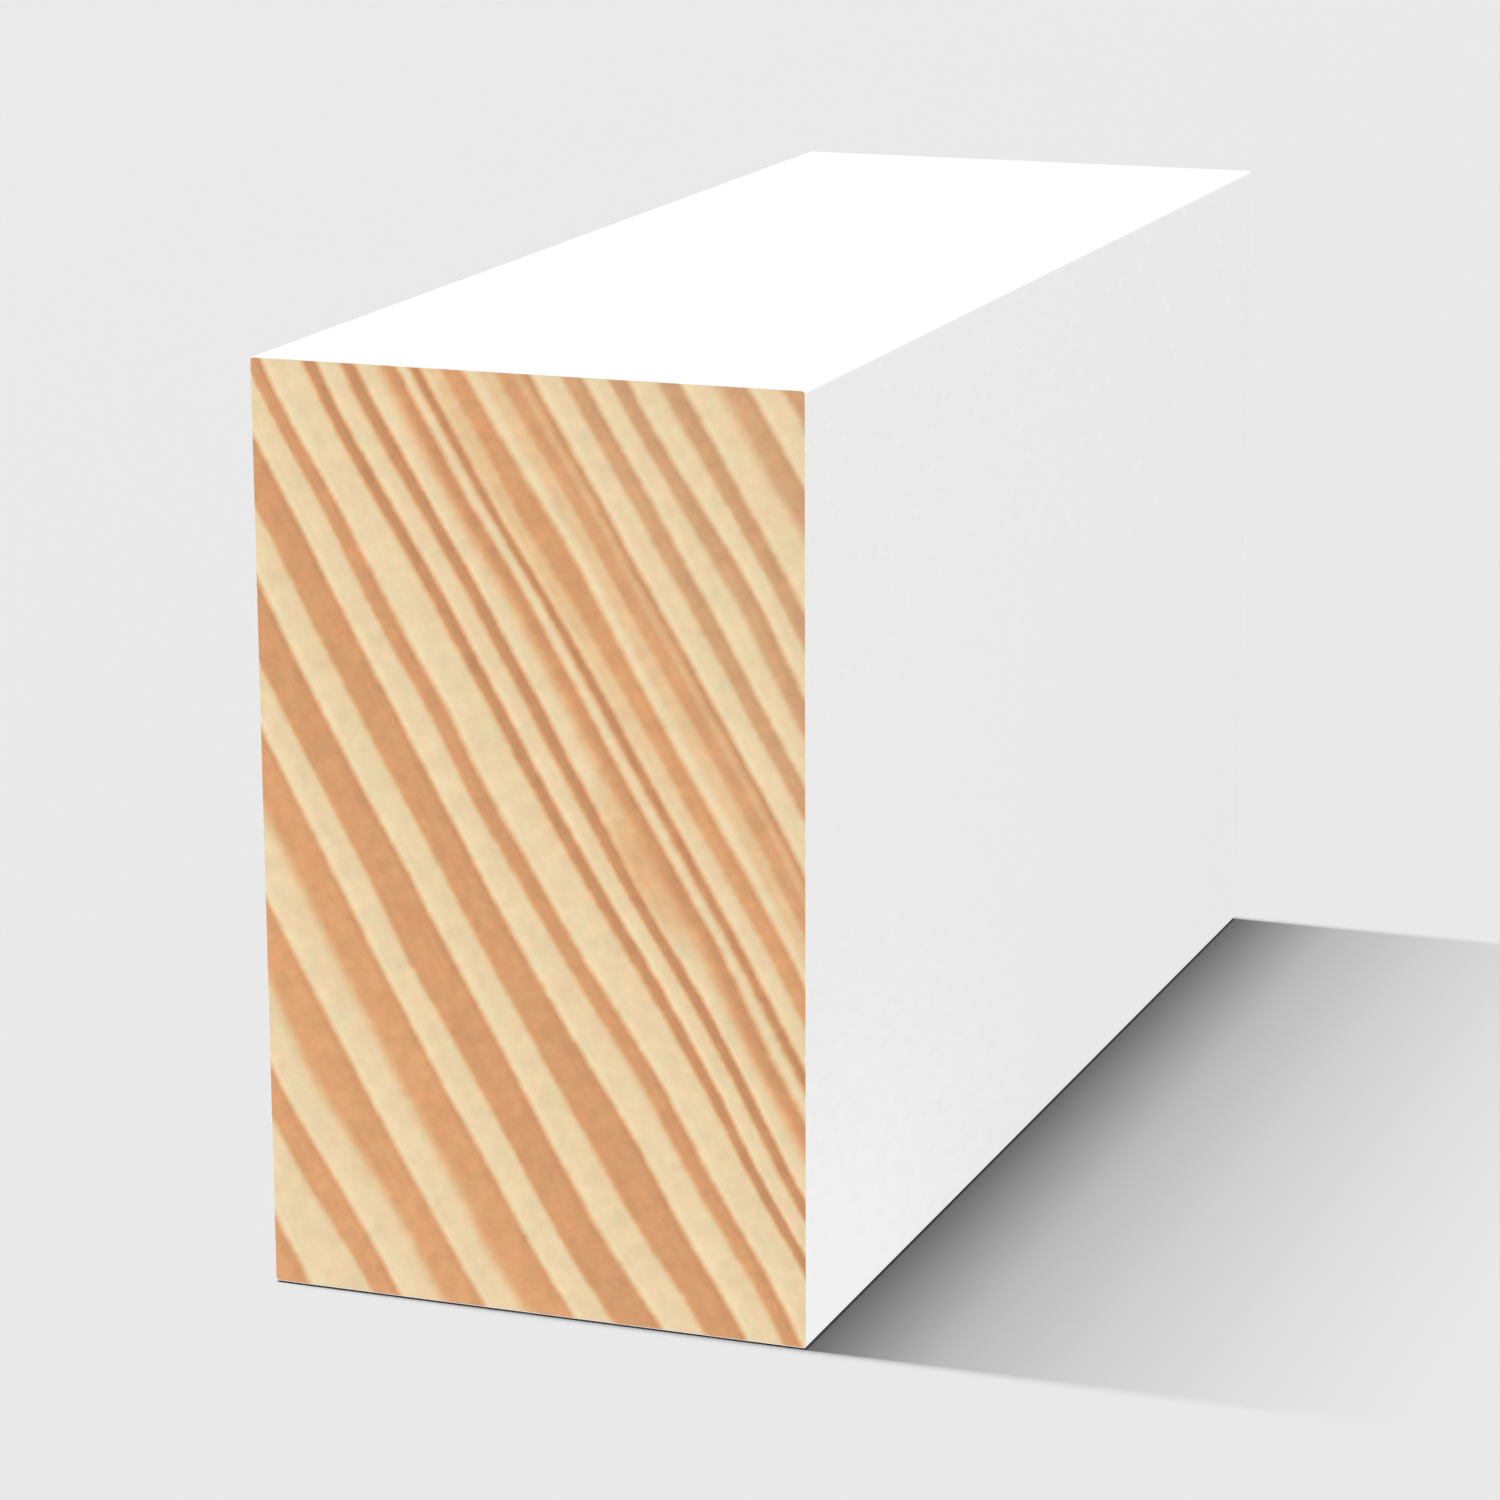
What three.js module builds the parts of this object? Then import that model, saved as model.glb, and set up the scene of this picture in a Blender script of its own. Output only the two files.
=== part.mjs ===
// A cut length of plain rectangular softwood moulding, primed white on its four long faces.
// It is one stick of timber: a square-edged section run out along the grain, with the long
// edges barely eased and both ends sawn square, so that the bare end grain shows there.
// Millimetres, +Z up. The stick stands on a narrow face, centred on the origin at Z = 0,
// with the grain along Y and the broad faces looking along X.

import * as THREE from "three";

// Driving dimensions
const SECTION_WIDTH = 38; // X, across the narrow face
const SECTION_HEIGHT = 63; // Z, up the broad face
const CUT_LENGTH = 107; // Y, along the grain
const ARRIS_RADIUS = 0.2; // the long edges, taken off with abrasive paper before priming
const ARRIS_FACETS = 4; // flats in each eased edge, an even number

const QUARTER_TURN = Math.PI / 2;

// Finishes
const barePine = new THREE.MeshStandardMaterial({
  name: "bare_pine",
  color: 0xe1bb90,
  roughness: 0.75,
  metalness: 0,
});
const whitePrimer = new THREE.MeshStandardMaterial({
  name: "white_primer",
  color: 0xf4f4f2,
  roughness: 0.6,
  metalness: 0,
});

// The section as the planer leaves it: a rectangle with a quarter-round arris at each corner,
// drawn anticlockwise from the bottom right-hand corner, its underside on the shape's X axis.
function sectionOutline() {
  const side = SECTION_WIDTH / 2 - ARRIS_RADIUS;
  const low = ARRIS_RADIUS;
  const high = SECTION_HEIGHT - ARRIS_RADIUS;
  const arrisCentres = [
    [side, low],
    [side, high],
    [-side, high],
    [-side, low],
  ];
  const outline = new THREE.Shape();
  arrisCentres.forEach(([x, z], corner) => {
    const start = (corner - 1) * QUARTER_TURN;
    outline.absarc(x, z, ARRIS_RADIUS, start, start + QUARTER_TURN, false);
  });
  outline.closePath();
  return outline;
}

// The stick: the section run out to the cut length. An extrusion's caps take the first
// finish and its sides the second, so the sawn ends are bare and the long faces are primed.
function timberMoulding() {
  const stick = new THREE.ExtrudeGeometry(sectionOutline(), {
    depth: CUT_LENGTH,
    curveSegments: ARRIS_FACETS / 2,
    bevelEnabled: false,
  });
  const mesh = new THREE.Mesh(stick, [barePine, whitePrimer]);
  mesh.name = "timber_moulding";
  // Stand the section upright, with the length lying evenly either side of the origin.
  mesh.rotation.x = QUARTER_TURN;
  mesh.position.y = CUT_LENGTH / 2;
  return mesh;
}

const part = new THREE.Group();
part.name = "primed_timber_moulding";
part.add(timberMoulding());

export default part;
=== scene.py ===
# %% [markdown]
# A length of primed softwood moulding
#
# The object is one stick of pine, planed to a plain rectangle, primed white along its four long
# faces and sawn square afterwards, so that each end shows bare end grain. There are no separate
# parts to assemble: the interest is in the two surfaces. This lesson follows the workshop. It
# planes the bar, eases its edges, saws the ends, lays out the growth rings, mixes the two finishes
# and then sets up the studio. The measured model comes first, because every size is taken from it.

# %% Load the measured model
import math
from collections import namedtuple

import bmesh
import bpy
from mathutils import Matrix, Vector, noise


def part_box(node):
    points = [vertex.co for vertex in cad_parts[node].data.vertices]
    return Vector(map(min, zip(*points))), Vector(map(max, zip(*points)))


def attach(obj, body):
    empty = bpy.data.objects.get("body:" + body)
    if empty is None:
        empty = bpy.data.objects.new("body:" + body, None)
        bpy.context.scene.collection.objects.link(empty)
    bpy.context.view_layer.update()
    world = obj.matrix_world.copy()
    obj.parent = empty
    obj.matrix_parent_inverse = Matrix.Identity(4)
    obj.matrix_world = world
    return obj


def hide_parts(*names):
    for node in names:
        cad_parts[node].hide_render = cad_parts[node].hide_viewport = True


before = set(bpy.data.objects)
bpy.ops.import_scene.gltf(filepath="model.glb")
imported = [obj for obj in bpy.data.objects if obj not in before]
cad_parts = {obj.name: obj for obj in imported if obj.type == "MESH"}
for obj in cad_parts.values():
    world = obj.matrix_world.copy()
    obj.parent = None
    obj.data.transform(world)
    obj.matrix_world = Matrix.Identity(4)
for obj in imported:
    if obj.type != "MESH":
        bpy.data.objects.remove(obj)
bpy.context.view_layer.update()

MM = 0.001
LOW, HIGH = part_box("timber_moulding")
WIDTH, LENGTH, HEIGHT = HIGH - LOW
MIDDLE = (LOW + HIGH) / 2
print("width, length and height:", [round(side / MM, 2) for side in (WIDTH, LENGTH, HEIGHT)], "mm")

# %% [markdown]
# The bar
#
# A planing machine leaves a true rectangle, so the bar starts as a cube primitive added at the
# real size and place. It could stay at six faces, but the sawn ends need enough points to carry
# the relief of the growth rings. Dividing all the edges that run one way cuts the faces into even
# strips, as a loop cut does by hand, and doing it for each direction in turn gives clean quads.

# %% Plane the bar
bpy.ops.object.select_all(action="DESELECT")
bpy.ops.mesh.primitive_cube_add(size=1, location=MIDDLE, scale=(WIDTH, LENGTH, HEIGHT))
bpy.ops.object.transform_apply(location=True, rotation=True, scale=True)
stick = bpy.context.object
stick.name = "primed_stick"
white_primer = bpy.data.materials.new("white_primer")
bare_pine = bpy.data.materials.new("bare_pine")
stick.data.materials.append(white_primer)
stick.data.materials.append(bare_pine)
print("bar planed:", [round(side / MM, 2) for side in stick.dimensions], "mm")

# %% Divide its faces
ACROSS, GRAIN, UP = 0, 1, 2
# One division makes at most a hundred cuts, so the height is halved first.
CUTS = ((ACROSS, 90), (UP, 2), (UP, 75), (GRAIN, 36))
PARALLEL = 0.99


def choose(kind, test):
    """Selects the edges or faces of the mesh in edit mode that pass a test, and counts them."""
    bpy.ops.mesh.select_mode(type=kind)
    bpy.ops.mesh.select_all(action="DESELECT")
    edited = bmesh.from_edit_mesh(bpy.context.object.data)
    found = [part for part in (edited.edges if kind == "EDGE" else edited.faces) if test(part)]
    for part in found:
        part.select_set(True)
    bmesh.update_edit_mesh(bpy.context.object.data)
    return len(found)


def runs_along(edge, axis):
    """True for an edge that is parallel to an axis."""
    run = edge.verts[1].co - edge.verts[0].co
    return abs(run[axis]) > PARALLEL * run.length


bpy.ops.object.mode_set(mode="EDIT")
for axis, strips in CUTS:
    edges = choose("EDGE", lambda edge: runs_along(edge, axis))
    bpy.ops.mesh.subdivide(number_cuts=strips - 1)
    print("divided", edges, "edges along axis", axis, "into", strips)

# %% [markdown]
# The eased edges and the sawn ends
#
# A knife-sharp edge doesn't hold paint, so the four long edges are eased with abrasive paper
# before priming: a bevel of a fifth of a millimetre, rounded by a few segments. The ends are sawn
# after the primer has dried, so they stay sharp, and the cut shows the film as a hair line round
# the bare wood. An inset makes that line, and the faces inside it take the second material.

# %% Ease the long edges
ARRIS = 0.2 * MM
ARRIS_SEGMENTS = 4
QUARTER_ROUND = 0.5
NEAR_ZERO = 0.01 * MM


def is_long_corner(edge):
    """True for a length of one of the four corners that run with the grain."""
    spot = edge.verts[0].co - MIDDLE
    at_side = abs(abs(spot.x) - WIDTH / 2) < NEAR_ZERO
    at_top_or_foot = abs(abs(spot.z) - HEIGHT / 2) < NEAR_ZERO
    return at_side and at_top_or_foot and runs_along(edge, GRAIN)


corner_edges = choose("EDGE", is_long_corner)
bpy.ops.mesh.bevel(offset=ARRIS, segments=ARRIS_SEGMENTS, profile=QUARTER_ROUND, affect="EDGES")
print("eased", corner_edges, "edges to a radius of", round(ARRIS / MM, 2), "mm")

# %% Saw the ends
PRIMER_FILM = 0.03 * MM
end_faces = choose("FACE", lambda face: abs(face.normal[GRAIN]) > PARALLEL)
bpy.ops.mesh.inset(thickness=PRIMER_FILM, depth=0)
stick.active_material_index = stick.data.materials.find(bare_pine.name)
bpy.ops.object.material_slot_assign()
bpy.ops.object.mode_set(mode="OBJECT")
print("sawn ends:", end_faces, "faces of bare wood inside a film of", round(PRIMER_FILM / MM, 2), "mm")

# %% [markdown]
# The growth rings
#
# A pine lays down one ring a year: pale spring wood, a turn, then dense orange summer wood that
# stops abruptly when winter comes. This stick was cut well away from the heart of the tree, so its
# rings cross the end as nearly straight bands that run down to the right and grow up to the right.
# A wood texture would make every ring alike. Real years differ, so each one is listed here as a
# ruler laid across the end gives it, read to a quarter of a millimetre, with a word for its
# turn and for the tone of each of its two woods. A faint band in mid-year, which a forester calls a
# false ring, takes a row of its own.

# %% Years of growth
# Tones of the wood: 0 is cream, and higher is darker.
CREAM, TAN, HALF = 0.0, 0.25, 0.5
ORANGE, RUSSET, BROWN = 0.70, 0.77, 0.88
# Widths of the turn from spring to summer wood, in millimetres.
SHORT, LONG = 0.6, 1.3
# Where summer wood starts and stops, in millimetres of growth from the middle of the end.
Year = namedtuple("Year", "start stop turn spring summer")
YEARS = (
    Year(-32.0, -29.0, SHORT, CREAM, ORANGE),
    Year(-26.0, -24.0, SHORT, CREAM, ORANGE),
    Year(-21.5, -18.75, LONG, CREAM, ORANGE),
    Year(-16.25, -13.5, LONG, CREAM, ORANGE),
    Year(-11.25, -8.5, SHORT, CREAM, RUSSET),
    Year(-6.25, -3.75, SHORT, CREAM, RUSSET),
    Year(-1.5, -0.25, SHORT, CREAM, RUSSET),
    Year(2.5, 3.5, SHORT, CREAM, BROWN),
    Year(5.0, 6.0, SHORT, CREAM, BROWN),
    Year(7.5, 8.75, LONG, CREAM, RUSSET),
    Year(9.5, 10.25, SHORT, CREAM, BROWN),
    Year(11.5, 12.75, SHORT, CREAM, ORANGE),
    Year(13.5, 14.0, SHORT, CREAM, TAN),  # the false ring
    Year(14.5, 15.5, SHORT, TAN, ORANGE),
    Year(16.0, 16.5, SHORT, HALF, RUSSET),
    Year(18.25, 19.5, SHORT, CREAM, ORANGE),
    Year(21.0, 22.25, SHORT, CREAM, ORANGE),
    Year(23.75, 25.0, SHORT, CREAM, ORANGE),
    Year(27.0, 28.75, LONG, CREAM, ORANGE),
    Year(30.5, 32.5, SHORT, CREAM, ORANGE),
)
LEAD, LEAD_SHARE = 1.5, 0.1
WINTER, WINTER_EASE, WINTER_CONTRAST = 0.6, 1.4, 0.35

# Each edge of a ring is a place, a width and a change of tone. A turn starts slowly, over a lead.
# A winter is drawn a little too hard, and eased again over a wider distance.
ring_edges = []
for year, following in zip(YEARS, YEARS[1:] + YEARS[-1:]):
    darker = year.summer - year.spring
    ring_edges.append((year.start - LEAD / 2, year.turn + LEAD, darker * LEAD_SHARE))
    ring_edges.append((year.start, year.turn, darker * (1 - LEAD_SHARE)))
    paler = following.spring - year.summer
    ring_edges.append((year.stop, WINTER, paler * (1 + WINTER_CONTRAST)))
    ring_edges.append((year.stop, WINTER + WINTER_EASE, -paler * WINTER_CONTRAST))
print(len(YEARS), "bands of summer wood and false rings,", len(ring_edges), "edges")

# %% [markdown]
# Where a point lies among the rings
#
# A short formula bends the bands as the tree did: they lean, they bow, and here and there a few
# bands swerve together or one edge alone is pushed in or out. Swerves and pushes are soft bumps,
# listed where the bands plainly stray. A smooth noise, the same in every run, adds a slight
# wobble. All of it goes into the mesh as an attribute, so the finish can read how much the wood
# has grown at any point.

# %% Bend the bands
RING_SLOPE = math.radians(30)  # the growth direction, above level
LEAN, LEAN_CHANGE = 0.05, -0.3  # how the bands fan out
BOW, BOW_CHANGE = -0.02, 0.24  # how they curve
WOBBLE, WOBBLE_LENGTH = 0.1, 7.0

# Growth and distance along the band, and how far the wood moves there, in millimetres.
SWERVES = (
    (-24, -18, 0.3),
    (-10, -23, -0.3),
    (-10, 18, -0.3),
    (-5, -34, 0.4),
    (1, -31, 0.6),
    (1, -18, 0.5),
    (3, 30, -0.4),
    (5, -12, 0.3),
    (5, 2, -0.2),
    (6, -28, -0.4),
    (10, 30, -0.3),
    (15, -6, 0.3),
)
PUSHES = (
    (-25.75, -21, 0.4),
    (-24, -6, -0.3),
    (-21.5, -6, -0.4),
    (-21.25, -18, 0.3),
    (-18.75, 6, -0.3),
    (-16.5, -22, -0.3),
    (-11.25, -3, -0.3),
    (-3.75, -20, 0.4),
    (-1.5, 5, -0.3),
    (-1.5, 18, -0.3),
    (-1, 34, -0.3),
    (-0.25, -16, 0.2),
    (6, -8, -0.5),
    (7.5, -18, -0.4),
    (7.5, 22, -0.3),
    (10.25, 20, -0.3),
    (11.25, 16, -0.4),
    (12.75, -13, 0.3),
    (12.75, 15, 0.3),
    (22.25, 8, 0.4),
    (22.25, 20, -0.3),
    (27, 6, 0.4),
)
# Each list with its bumps' reach across and along the bands.
BUMPS = ((SWERVES, 2.5, 6.0), (PUSHES, 1.0, 4.0))


def ring_place(spot):
    """Growth from the middle of the end, and distance along the band, both in millimetres."""
    across = (spot.x - MIDDLE.x) / HEIGHT
    up = (spot.z - MIDDLE.z) / HEIGHT
    out = across * math.cos(RING_SLOPE) + up * math.sin(RING_SLOPE)
    along = up * math.cos(RING_SLOPE) - across * math.sin(RING_SLOPE)
    lean = LEAN * out + LEAN_CHANGE * out ** 2
    bow = BOW + BOW_CHANGE * out
    growth = (out + lean * along + bow * along ** 2) * HEIGHT / MM
    along *= HEIGHT / MM
    shift = WOBBLE * noise.noise(Vector((growth, along, 0)) / WOBBLE_LENGTH)
    for bumps, reach_across, reach_along in BUMPS:
        for at_growth, at_along, amount in bumps:
            far = math.hypot((growth - at_growth) / reach_across, (along - at_along) / reach_along)
            shift += amount * math.exp(-far ** 2 / 2)
    return growth - shift, along


for name, corner in (("lower left", LOW), ("upper right", HIGH)):
    print(name, "corner lies at a growth of", round(ring_place(corner)[0], 2), "mm")

# %% Write the rings into the mesh
places = stick.data.attributes.new("ring_place", "FLOAT_VECTOR", "POINT")
for point, stored in zip(stick.data.vertices, places.data):
    stored.vector = (*ring_place(point.co), point.co.y / MM)
print("ring places stored on", len(places.data), "points")

# %% [markdown]
# The relief of the sawn ends
#
# A saw tears soft spring wood a little deeper than hard summer wood, so a sawn end feels faintly
# ribbed. The ribs are only about a hundredth of a millimetre deep. Weight painting is the usual way
# to say where a modifier works, so the softness of the wood goes into a vertex group, and a Displace
# modifier sinks the surface by it and is then applied.

# %% Sink the spring wood
RELIEF = 0.01 * MM
SMOOTH_BELOW = math.radians(35)


def clamp(value):
    """Keeps a value from 0 to 1."""
    return min(max(value, 0), 1)


def tone_at(growth):
    """The tone of the wood at a growth in millimetres: every edge passed changes it."""
    tone = YEARS[0].spring
    for place, width, rise in ring_edges:
        passed = clamp((growth - place) / width + 0.5)
        tone += rise * passed ** 2 * (3 - 2 * passed)
    return tone


on_film = set()
on_wood = set()
for face in stick.data.polygons:
    group = on_wood if face.material_index else on_film
    group.update(face.vertices)
spring_wood = stick.vertex_groups.new(name="spring_wood")
for index in sorted(on_wood - on_film):
    spring_wood.add([index], 1 - clamp(tone_at(places.data[index].vector.x)), "REPLACE")
sunk = stick.modifiers.new("sawn_relief", "DISPLACE")
sunk.vertex_group = spring_wood.name
sunk.mid_level = 0
sunk.strength = -RELIEF
bpy.ops.object.modifier_apply(modifier=sunk.name)
bpy.ops.object.shade_smooth_by_angle(angle=SMOOTH_BELOW)
print("sunk up to", round(RELIEF / MM, 3), "mm on", len(on_wood - on_film), "points")

# %% [markdown]
# Shader maths
#
# A finish is a few noises, mixed. Written node by node that takes a page, so one small class
# stands for a socket: arithmetic on it adds Math nodes, and its node method adds any other kind.
# Colours go through Mix nodes, since a Math node would turn them grey.

# %% A socket that does arithmetic
class Wire:
    """A node's output. Adding, taking away and multiplying wires adds Math nodes."""

    def __init__(self, socket):
        self.socket = socket
        self.tree = socket.id_data

    def node(self, kind, settings, sockets, output=0):
        """Adds a node: first its settings, then the value or wire of each socket."""
        made = self.tree.nodes.new(kind)
        for name, value in settings.items():
            if name == "stops":
                set_stops(made.color_ramp, value)
            else:
                setattr(made, name, value)
        for name, value in sockets.items():
            plug(made.inputs[name], value)
        return Wire(made.outputs[output])

    def math(self, operation, first, second):
        return self.node("ShaderNodeMath", {"operation": operation}, {0: first, 1: second})

    def __add__(self, other):
        return self.math("ADD", self, other)

    def __radd__(self, other):
        return self.math("ADD", other, self)

    def __sub__(self, other):
        return self.math("SUBTRACT", self, other)

    def __rsub__(self, other):
        return self.math("SUBTRACT", other, self)

    def __mul__(self, other):
        return self.math("MULTIPLY", self, other)

    def __rmul__(self, other):
        return self.math("MULTIPLY", other, self)


def plug(socket, value):
    """Links a wire to a socket, or sets a plain value on it."""
    if isinstance(value, Wire):
        socket.id_data.links.new(value.socket, socket)
    else:
        socket.default_value = value


def set_stops(ramp, stops):
    """Gives a colour ramp its stops, each a position and a colour."""
    while len(ramp.elements) > 1:
        ramp.elements.remove(ramp.elements[0])
    ramp.elements[0].position, ramp.elements[0].color = stops[0]
    for position, colour in stops[1:]:
        ramp.elements.new(position).color = colour


print("a wire adds, takes away and multiplies")

# %% Colours, mixes and noises
# A Mix node has sockets for numbers, vectors and colours. These are the ones for colours.
MIX_FACTOR, MIX_FIRST, MIX_SECOND, MIX_RESULT = 0, 6, 7, 2
NOISE_ROUGHNESS = 0.6


def paint(red, green, blue):
    """A colour as seen on a screen, 0 to 255, as the linear colour that a shader takes."""
    shares = [channel / 255 for channel in (red, green, blue)]
    return (*[s / 12.92 if s <= 0.04045 else ((s + 0.055) / 1.055) ** 2.4 for s in shares], 1)


def mix(factor, first, second, how="MIX"):
    """Mixes two colours. The factor is a wire, or a number if the first colour is a wire."""
    wire = factor if isinstance(factor, Wire) else first
    settings = {"data_type": "RGBA", "blend_type": how}
    sockets = {MIX_FACTOR: factor, MIX_FIRST: first, MIX_SECOND: second}
    return wire.node("ShaderNodeMix", settings, sockets, MIX_RESULT)


def vector_math(operation, first, second, output=0):
    """Works on two vectors, the first of them a wire."""
    return first.node("ShaderNodeVectorMath", {"operation": operation}, {0: first, 1: second}, output)


def grain_noise(place, size, detail=2.0, stretch=(1, 1, 1)):
    """Noise about its middle value, -0.5 to 0.5, with features of one size in the place's own unit."""
    scaled = vector_math("MULTIPLY", place, [1 / (size * share) for share in stretch])
    sockets = {"Vector": scaled, "Scale": 1.0, "Detail": detail, "Roughness": NOISE_ROUGHNESS}
    return place.node("ShaderNodeTexNoise", {}, sockets) - 0.5


def step(value, place, width, rise=1.0):
    """0 before a place and a rise after it, changing smoothly over a width."""
    return value.node(
        "ShaderNodeMapRange",
        {"interpolation_type": "SMOOTHSTEP"},
        {"Value": value, "From Min": place - width / 2, "From Max": place + width / 2, "To Max": rise},
    )


def reaches_from(place, centre, reach):
    """Distance from a centre, counted in reaches: 1 on an egg shape round it."""
    shares = vector_math("DIVIDE", vector_math("SUBTRACT", place, centre), reach)
    return place.node("ShaderNodeVectorMath", {"operation": "LENGTH"}, {0: shares}, "Value")


def roughen(height, distance):
    """A bump of a height from -0.5 to 0.5 times a distance."""
    return height.node("ShaderNodeBump", {}, {"Height": height, "Distance": distance, "Strength": 1.0})


def begin(material):
    """Clears a material to one Principled shader, and gives it and a wire of object coordinates."""
    material.use_nodes = True
    tree = material.node_tree
    tree.nodes.clear()
    shader = tree.nodes.new("ShaderNodeBsdfPrincipled")
    output = tree.nodes.new("ShaderNodeOutputMaterial")
    tree.links.new(shader.outputs["BSDF"], output.inputs["Surface"])
    place = tree.nodes.new("ShaderNodeTexCoord").outputs["Object"]
    return shader, Wire(place)


print("white paint is", paint(255, 255, 255))

# %% [markdown]
# White primer
#
# The long faces carry one sprayed and sanded coat: matt, neutral white, smooth to the hand, with a
# very fine stipple. Towards the foot of the near right corner the white is painted a little whiter,
# as painted light standing in for light thrown back by the floor, and near the top lie scattered
# paler flecks where the spray dried early, drawn out along the stick as it ran through the spray.
# A plain white would look like plastic. One noise gives the stipple as a bump, and a coarser one,
# cut off high, gives the flecks and breaks up the edge of the patch of painted light.

# %% Mix the primer
PRIMER_BODY = (0.9, 0.9, 0.9, 1)
# A whiter primer for painted light: the lower near end of the right face is made lighter, as if lit by
# the floor.
PRIMER_PAINTED_LIGHT = (0.965, 0.965, 0.965, 1)
STIPPLE_SIZE, STIPPLE_HEIGHT = 0.45 * MM, 0.004 * MM
FLECK_SIZE, FLECK_CUT, FLECK_EASE, FLECK_WHITE = 1.0 * MM, 0.17, 0.1, 0.5
FLECK_STRETCH = (1, 2.5, 1)
FLECKS_FROM, FLECKS_FADE = 45 * MM, 50 * MM
# Where that painted light lies: round the foot of the near right corner, with its reach, its edge and
# how ragged it is.
PAINTED_LIGHT_CORNER = Vector((HIGH.x, LOW.y, LOW.z))
PAINTED_LIGHT_REACH = Vector((20, 46, 27)) * MM
PAINTED_LIGHT_EDGE, PAINTED_LIGHT_EASE, PAINTED_LIGHT_RAGGED = 0.6, 1.0, 0.9
PRIMER_ROUGH, STIPPLE_ROUGH = 0.62, 0.1
PRIMER_SPECULAR = 0.3

primer, place = begin(white_primer)
stipple = grain_noise(place, STIPPLE_SIZE)
fleck_noise = grain_noise(place, FLECK_SIZE, detail=1.0, stretch=FLECK_STRETCH)
far = reaches_from(place, PAINTED_LIGHT_CORNER, PAINTED_LIGHT_REACH)
# Painted light: the primer whitens towards the foot of the near right corner.
painted_light = 1.0 - step(far + fleck_noise * PAINTED_LIGHT_RAGGED, PAINTED_LIGHT_EDGE, PAINTED_LIGHT_EASE)
height = place.node("ShaderNodeSeparateXYZ", {}, {"Vector": place}, "Z")
near_top = step(height, FLECKS_FROM, FLECKS_FADE)
flecks = step(fleck_noise, FLECK_CUT, FLECK_EASE) * near_top * FLECK_WHITE
plug(primer.inputs["Base Color"], mix(painted_light + flecks, PRIMER_BODY, PRIMER_PAINTED_LIGHT))
plug(primer.inputs["Roughness"], PRIMER_ROUGH + stipple * STIPPLE_ROUGH)
plug(primer.inputs["Normal"], roughen(stipple, STIPPLE_HEIGHT))
primer.inputs["Specular IOR Level"].default_value = PRIMER_SPECULAR
print("primer mixed with", len(white_primer.node_tree.nodes), "nodes")

# %% [markdown]
# Bare end grain
#
# The mesh holds how much each point has grown. Every edge of a ring is one smooth step in tone, so
# a loop adds up the steps, and a ramp turns the tone into colour: cream, tan, orange, russet,
# brown. Over that lie two tan stains in bands of spring wood, streaks that run with the bands, and
# mottling. The last years, towards the upper right corner, have a cooler and duller summer wood.

# %% Read the tone of the wood
RAGGED_SIZE, RAGGED_SHIFT = 0.9, 0.25
STREAK_SIZE, STREAK_DETAIL, STREAK_TONE = 0.5, 3.0, 0.15
STREAK_STRETCH = (1, 14, 14)
# Each stain's growth and distance along the band, its reach both ways, and its tone.
STAINS = (
    ((6.75, -4.0), (1.6, 8.0), 0.5),
    ((11.0, 18.0), (1.4, 32.0), 0.3),
)
# A stain runs with the grain, so its reach along the stick is longer than the stick.
STAIN_RUN = 1000.0
STAIN_EDGE, STAIN_EASE = 0.5, 1.0

pine, place = begin(bare_pine)
rings = place.node("ShaderNodeAttribute", {"attribute_name": "ring_place"}, {}, "Vector")
growth = rings.node("ShaderNodeSeparateXYZ", {}, {"Vector": rings}, "X")
ragged = growth + grain_noise(rings, RAGGED_SIZE) * RAGGED_SHIFT
tone = YEARS[0].spring
for edge_place, width, rise in ring_edges:
    tone = tone + step(ragged, edge_place, width, rise)
streaks = grain_noise(rings, STREAK_SIZE, STREAK_DETAIL, STREAK_STRETCH)
for centre, reach, darkness in STAINS:
    far = reaches_from(rings, (*centre, 0), (*reach, STAIN_RUN))
    stain = 1.0 - step(far, STAIN_EDGE, STAIN_EASE)
    tone = tone + stain * darkness * (1.0 - tone)
tone = tone + streaks * STREAK_TONE
print("tone follows", len(ring_edges), "edges and", len(STAINS), "stains")

# %% Colour the rings
# Winters and streaks take the tone past cream and brown, so the ramp reaches further both ways.
PALEST, DARKEST = -0.2, 1.2
WOOD_TONES = (
    (PALEST, (250, 226, 184)),
    (CREAM, (235, 212, 172)),
    (TAN, (232, 197, 152)),
    (ORANGE, (221, 163, 115)),
    (BROWN, (204, 149, 106)),
    (DARKEST, (180, 130, 92)),
)
scale = 1 / (DARKEST - PALEST)
stops = [((level - PALEST) * scale, paint(*colour)) for level, colour in WOOD_TONES]
ring_colour = tone.node("ShaderNodeValToRGB", {"stops": stops}, {"Fac": (tone - PALEST) * scale})
print("rings coloured by", len(stops), "stops")

# %% Tint and mottle the wood
LATER_FROM, LATER_EASE = 16.0, 8.0
LATER_TINT = (0.89, 1.03, 1.18, 1)
PLAIN = (1, 1, 1, 1)
MOTTLE_SIZE, MOTTLE_SPRING, MOTTLE_SUMMER = 1.2, 0.25, 0.15
BLUSH_SIZE = 1.0
BLUSH = (0.12, -0.10, -0.06)  # how far it moves red, green and blue

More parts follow.
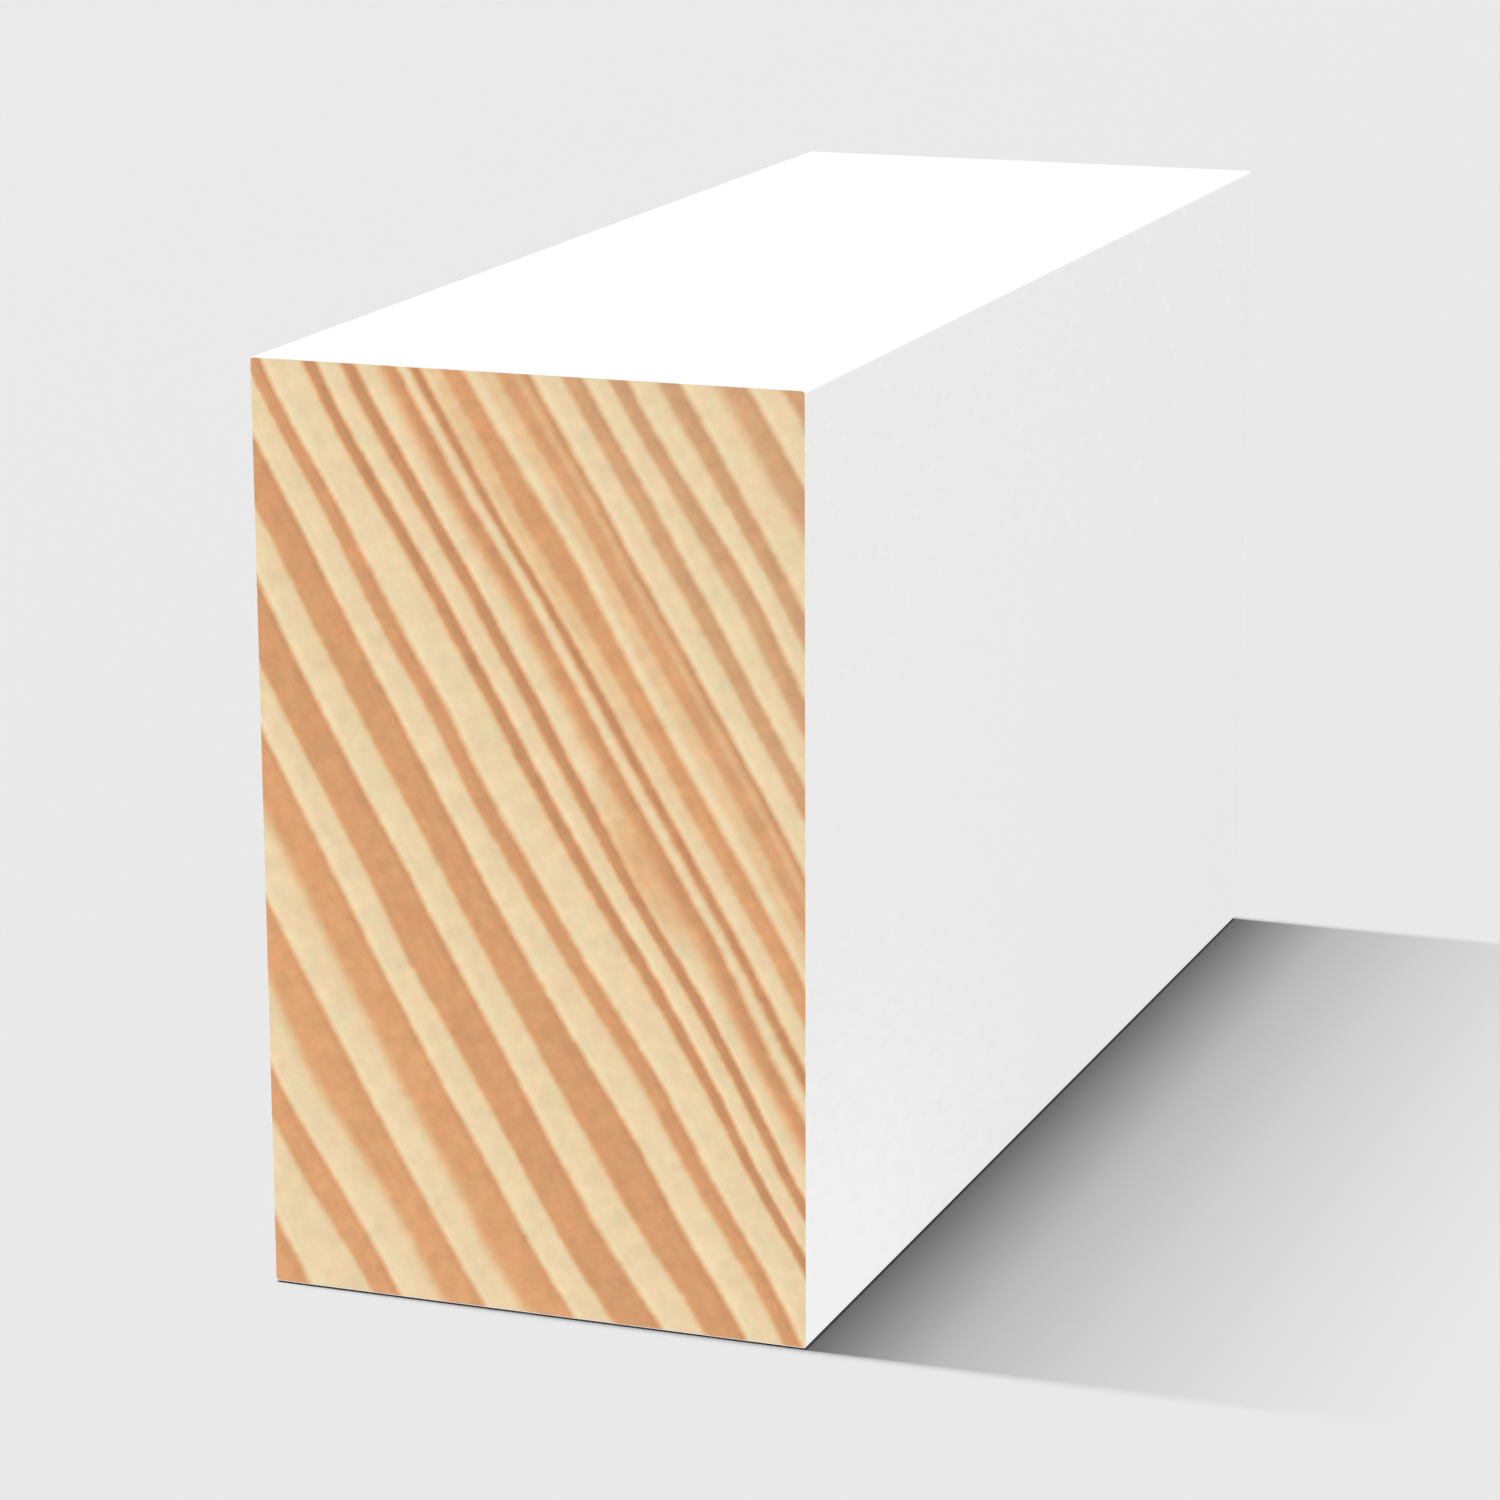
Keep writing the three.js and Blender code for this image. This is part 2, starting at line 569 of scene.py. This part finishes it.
tint = mix(step(growth, LATER_FROM, LATER_EASE) * tone, PLAIN, LATER_TINT)
light = 1.0 + grain_noise(rings, MOTTLE_SIZE) * (MOTTLE_SPRING + tone * MOTTLE_SUMMER)
blush = grain_noise(rings, BLUSH_SIZE, detail=1.0)
red, green, blue = [light + blush * share for share in BLUSH]
speckled = light.node("ShaderNodeCombineColor", {}, {0: red, 1: green, 2: blue})
tinted = mix(1.0, ring_colour, tint, "MULTIPLY")
plug(pine.inputs["Base Color"], mix(1.0, tinted, speckled, "MULTIPLY"))
print("wood mottled at", MOTTLE_SIZE, "mm")

# %% Finish the sawn surface
CELL_SIZE, CELL_HEIGHT, STREAK_SHARE = 0.25, 0.003 * MM, 0.5
SAWN_ROUGH, CELL_ROUGH = 0.82, 0.1
SAWN_SPECULAR = 0.2

cells = grain_noise(rings, CELL_SIZE, detail=1.0)
plug(pine.inputs["Roughness"], SAWN_ROUGH + cells * CELL_ROUGH)
plug(pine.inputs["Normal"], roughen(cells + streaks * STREAK_SHARE, CELL_HEIGHT))
pine.inputs["Specular IOR Level"].default_value = SAWN_SPECULAR
print("end grain finished with", len(bare_pine.node_tree.nodes), "nodes")

# %% [markdown]
# Fixing the stick to the model
#
# The new mesh stands for the measured one, which stays hidden underneath for its weight and
# collision. Nothing on this object moves, so the stick rides on the one root body.

# %% Ride on the root body
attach(stick, "root")
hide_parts("timber_moulding")
print("stick stands for the measured solid")

# %% [markdown]
# The studio
#
# The picture is high key: an even pale floor, a top face burnt out to white, two bright upright
# faces and one shadow that lies square to the stick and fades as it runs out. Soft boxes would blur
# every edge of that shadow. A strip light blurs only along its own length, so strips that start
# overhead and reach out to the left make a shadow that fades one way and stays crisp the other.
# Level suns then fill the upright faces: light that runs parallel to the floor never touches it.
# A weak sun almost straight overhead lifts the floor, and the stick hides the shadow that it makes.
# The floor lies a hair below the stick, for the dark line at its foot, and throws no light back.

# %% Lay the floor
FLOOR_SIZE = 40.0
FLOOR_TONE = (0.68, 0.68, 0.68, 1)
FLOOR_GAP = 0.13 * MM
bpy.ops.mesh.primitive_plane_add(size=FLOOR_SIZE, location=(0, 0, LOW.z - FLOOR_GAP))
floor = bpy.context.object
floor.name = "studio_floor"
floor_paint = bpy.data.materials.new("floor_paint")
floor_shader, _ = begin(floor_paint)
floor_shader.inputs["Base Color"].default_value = FLOOR_TONE
floor_shader.inputs["Roughness"].default_value = 1.0
floor_shader.inputs["Specular IOR Level"].default_value = 0.0
floor.data.materials.append(floor_paint)
# Neither the floor nor the stick throws light at the other, and the floor casts no shadow.
floor.visible_diffuse = False
floor.visible_glossy = False
floor.visible_shadow = False
stick.visible_diffuse = False
print("floor laid", FLOOR_SIZE, "m square")

# %% Hang the strip lights
KEY_LEVEL = 0.984
KEY_HEIGHT = 40.0
# Reach from overhead in degrees, width in metres and share of the key.
STRIPS = ((8, 0.5, 0.3), (16, 0.5, 0.1), (32, 1.0, 0.6))


def add_lamp(name, kind, energy, location, rotation):
    """Adds a lamp of one kind with its energy, and returns its light data."""
    bpy.ops.object.light_add(type=kind, location=location, rotation=rotation)
    lamp = bpy.context.object
    lamp.name = name
    lamp.data.energy = energy
    return lamp.data


for reach, width, share in STRIPS:
    angle = math.radians(reach)
    length = KEY_HEIGHT * math.tan(angle)
    sight = angle / 2 + math.sin(2 * angle) / 4  # how much of the strip the floor takes in
    energy = math.pi ** 2 * KEY_LEVEL * share * KEY_HEIGHT * length / sight
    strip = add_lamp(f"strip_{reach}", "AREA", energy, (-length / 2, 0, KEY_HEIGHT), (0, 0, 0))
    strip.shape = "RECTANGLE"
    strip.size = length
    strip.size_y = width
    print("strip reaching", reach, "degrees is", round(length, 2), "m long")

# %% Set the suns
# Angles in degrees, as for a camera: at an azimuth of 0 the light runs along +Y.
Sun = namedtuple("Sun", "name azimuth elevation level")
SUNS = (
    Sun("near_fill", 43.8, 0.0, 1.305),
    Sun("far_fill", 215.0, 0.0, 1.05),
    Sun("overhead", 90.0, 89.9, 0.156),
)
SUN_PLACE = (0, 0, 1)
for sun in SUNS:
    turn = (math.radians(90 - sun.elevation), 0, math.radians(sun.azimuth))
    add_lamp(sun.name, "SUN", math.pi * sun.level, SUN_PLACE, turn).angle = 0
print(len(SUNS), "suns set")

# %% Paint the surroundings
AMBIENT = 0.06
BACKDROP = 0.815
world = bpy.data.worlds.new("studio")
bpy.context.scene.world = world
world.use_nodes = True
sky = world.node_tree.nodes["Background"]
seen = Wire(world.node_tree.nodes.new("ShaderNodeLightPath").outputs["Is Camera Ray"])
plug(sky.inputs["Strength"], AMBIENT + seen * (BACKDROP - AMBIENT))
sky.inputs["Color"].default_value = (1, 1, 1, 1)
bpy.context.scene.view_settings.view_transform = "Standard"
print("surroundings are", BACKDROP, "to the camera and", AMBIENT, "to the stick")

# %% [markdown]
# The camera
#
# A long lens close to the floor, to the right of the near end and a little above the top. Its
# place and angles were worked out from the edges of the stick in the picture.

# %% Set up the camera
CAMERA_PLACE = Vector((123.0, -343.2, 118.1)) * MM
CAMERA_AZIMUTH, CAMERA_ELEVATION, CAMERA_ROLL = 20.40, 14.22, -0.23
LENS_MM, SENSOR_MM = 121.0, 36.0
CLIP_START = 0.01
bpy.ops.object.camera_add()
camera = bpy.context.object
camera.name = "camera"
camera.data.lens = LENS_MM
camera.data.sensor_width = SENSOR_MM
camera.data.clip_start = CLIP_START
turned = Matrix.Rotation(math.radians(CAMERA_AZIMUTH), 4, "Z")
tipped = Matrix.Rotation(math.radians(90 - CAMERA_ELEVATION), 4, "X")
rolled = Matrix.Rotation(math.radians(CAMERA_ROLL), 4, "Z")
camera.matrix_world = Matrix.Translation(CAMERA_PLACE) @ turned @ tipped @ rolled
bpy.context.scene.camera = camera
print("camera at", [round(side / MM, 1) for side in CAMERA_PLACE], "mm")
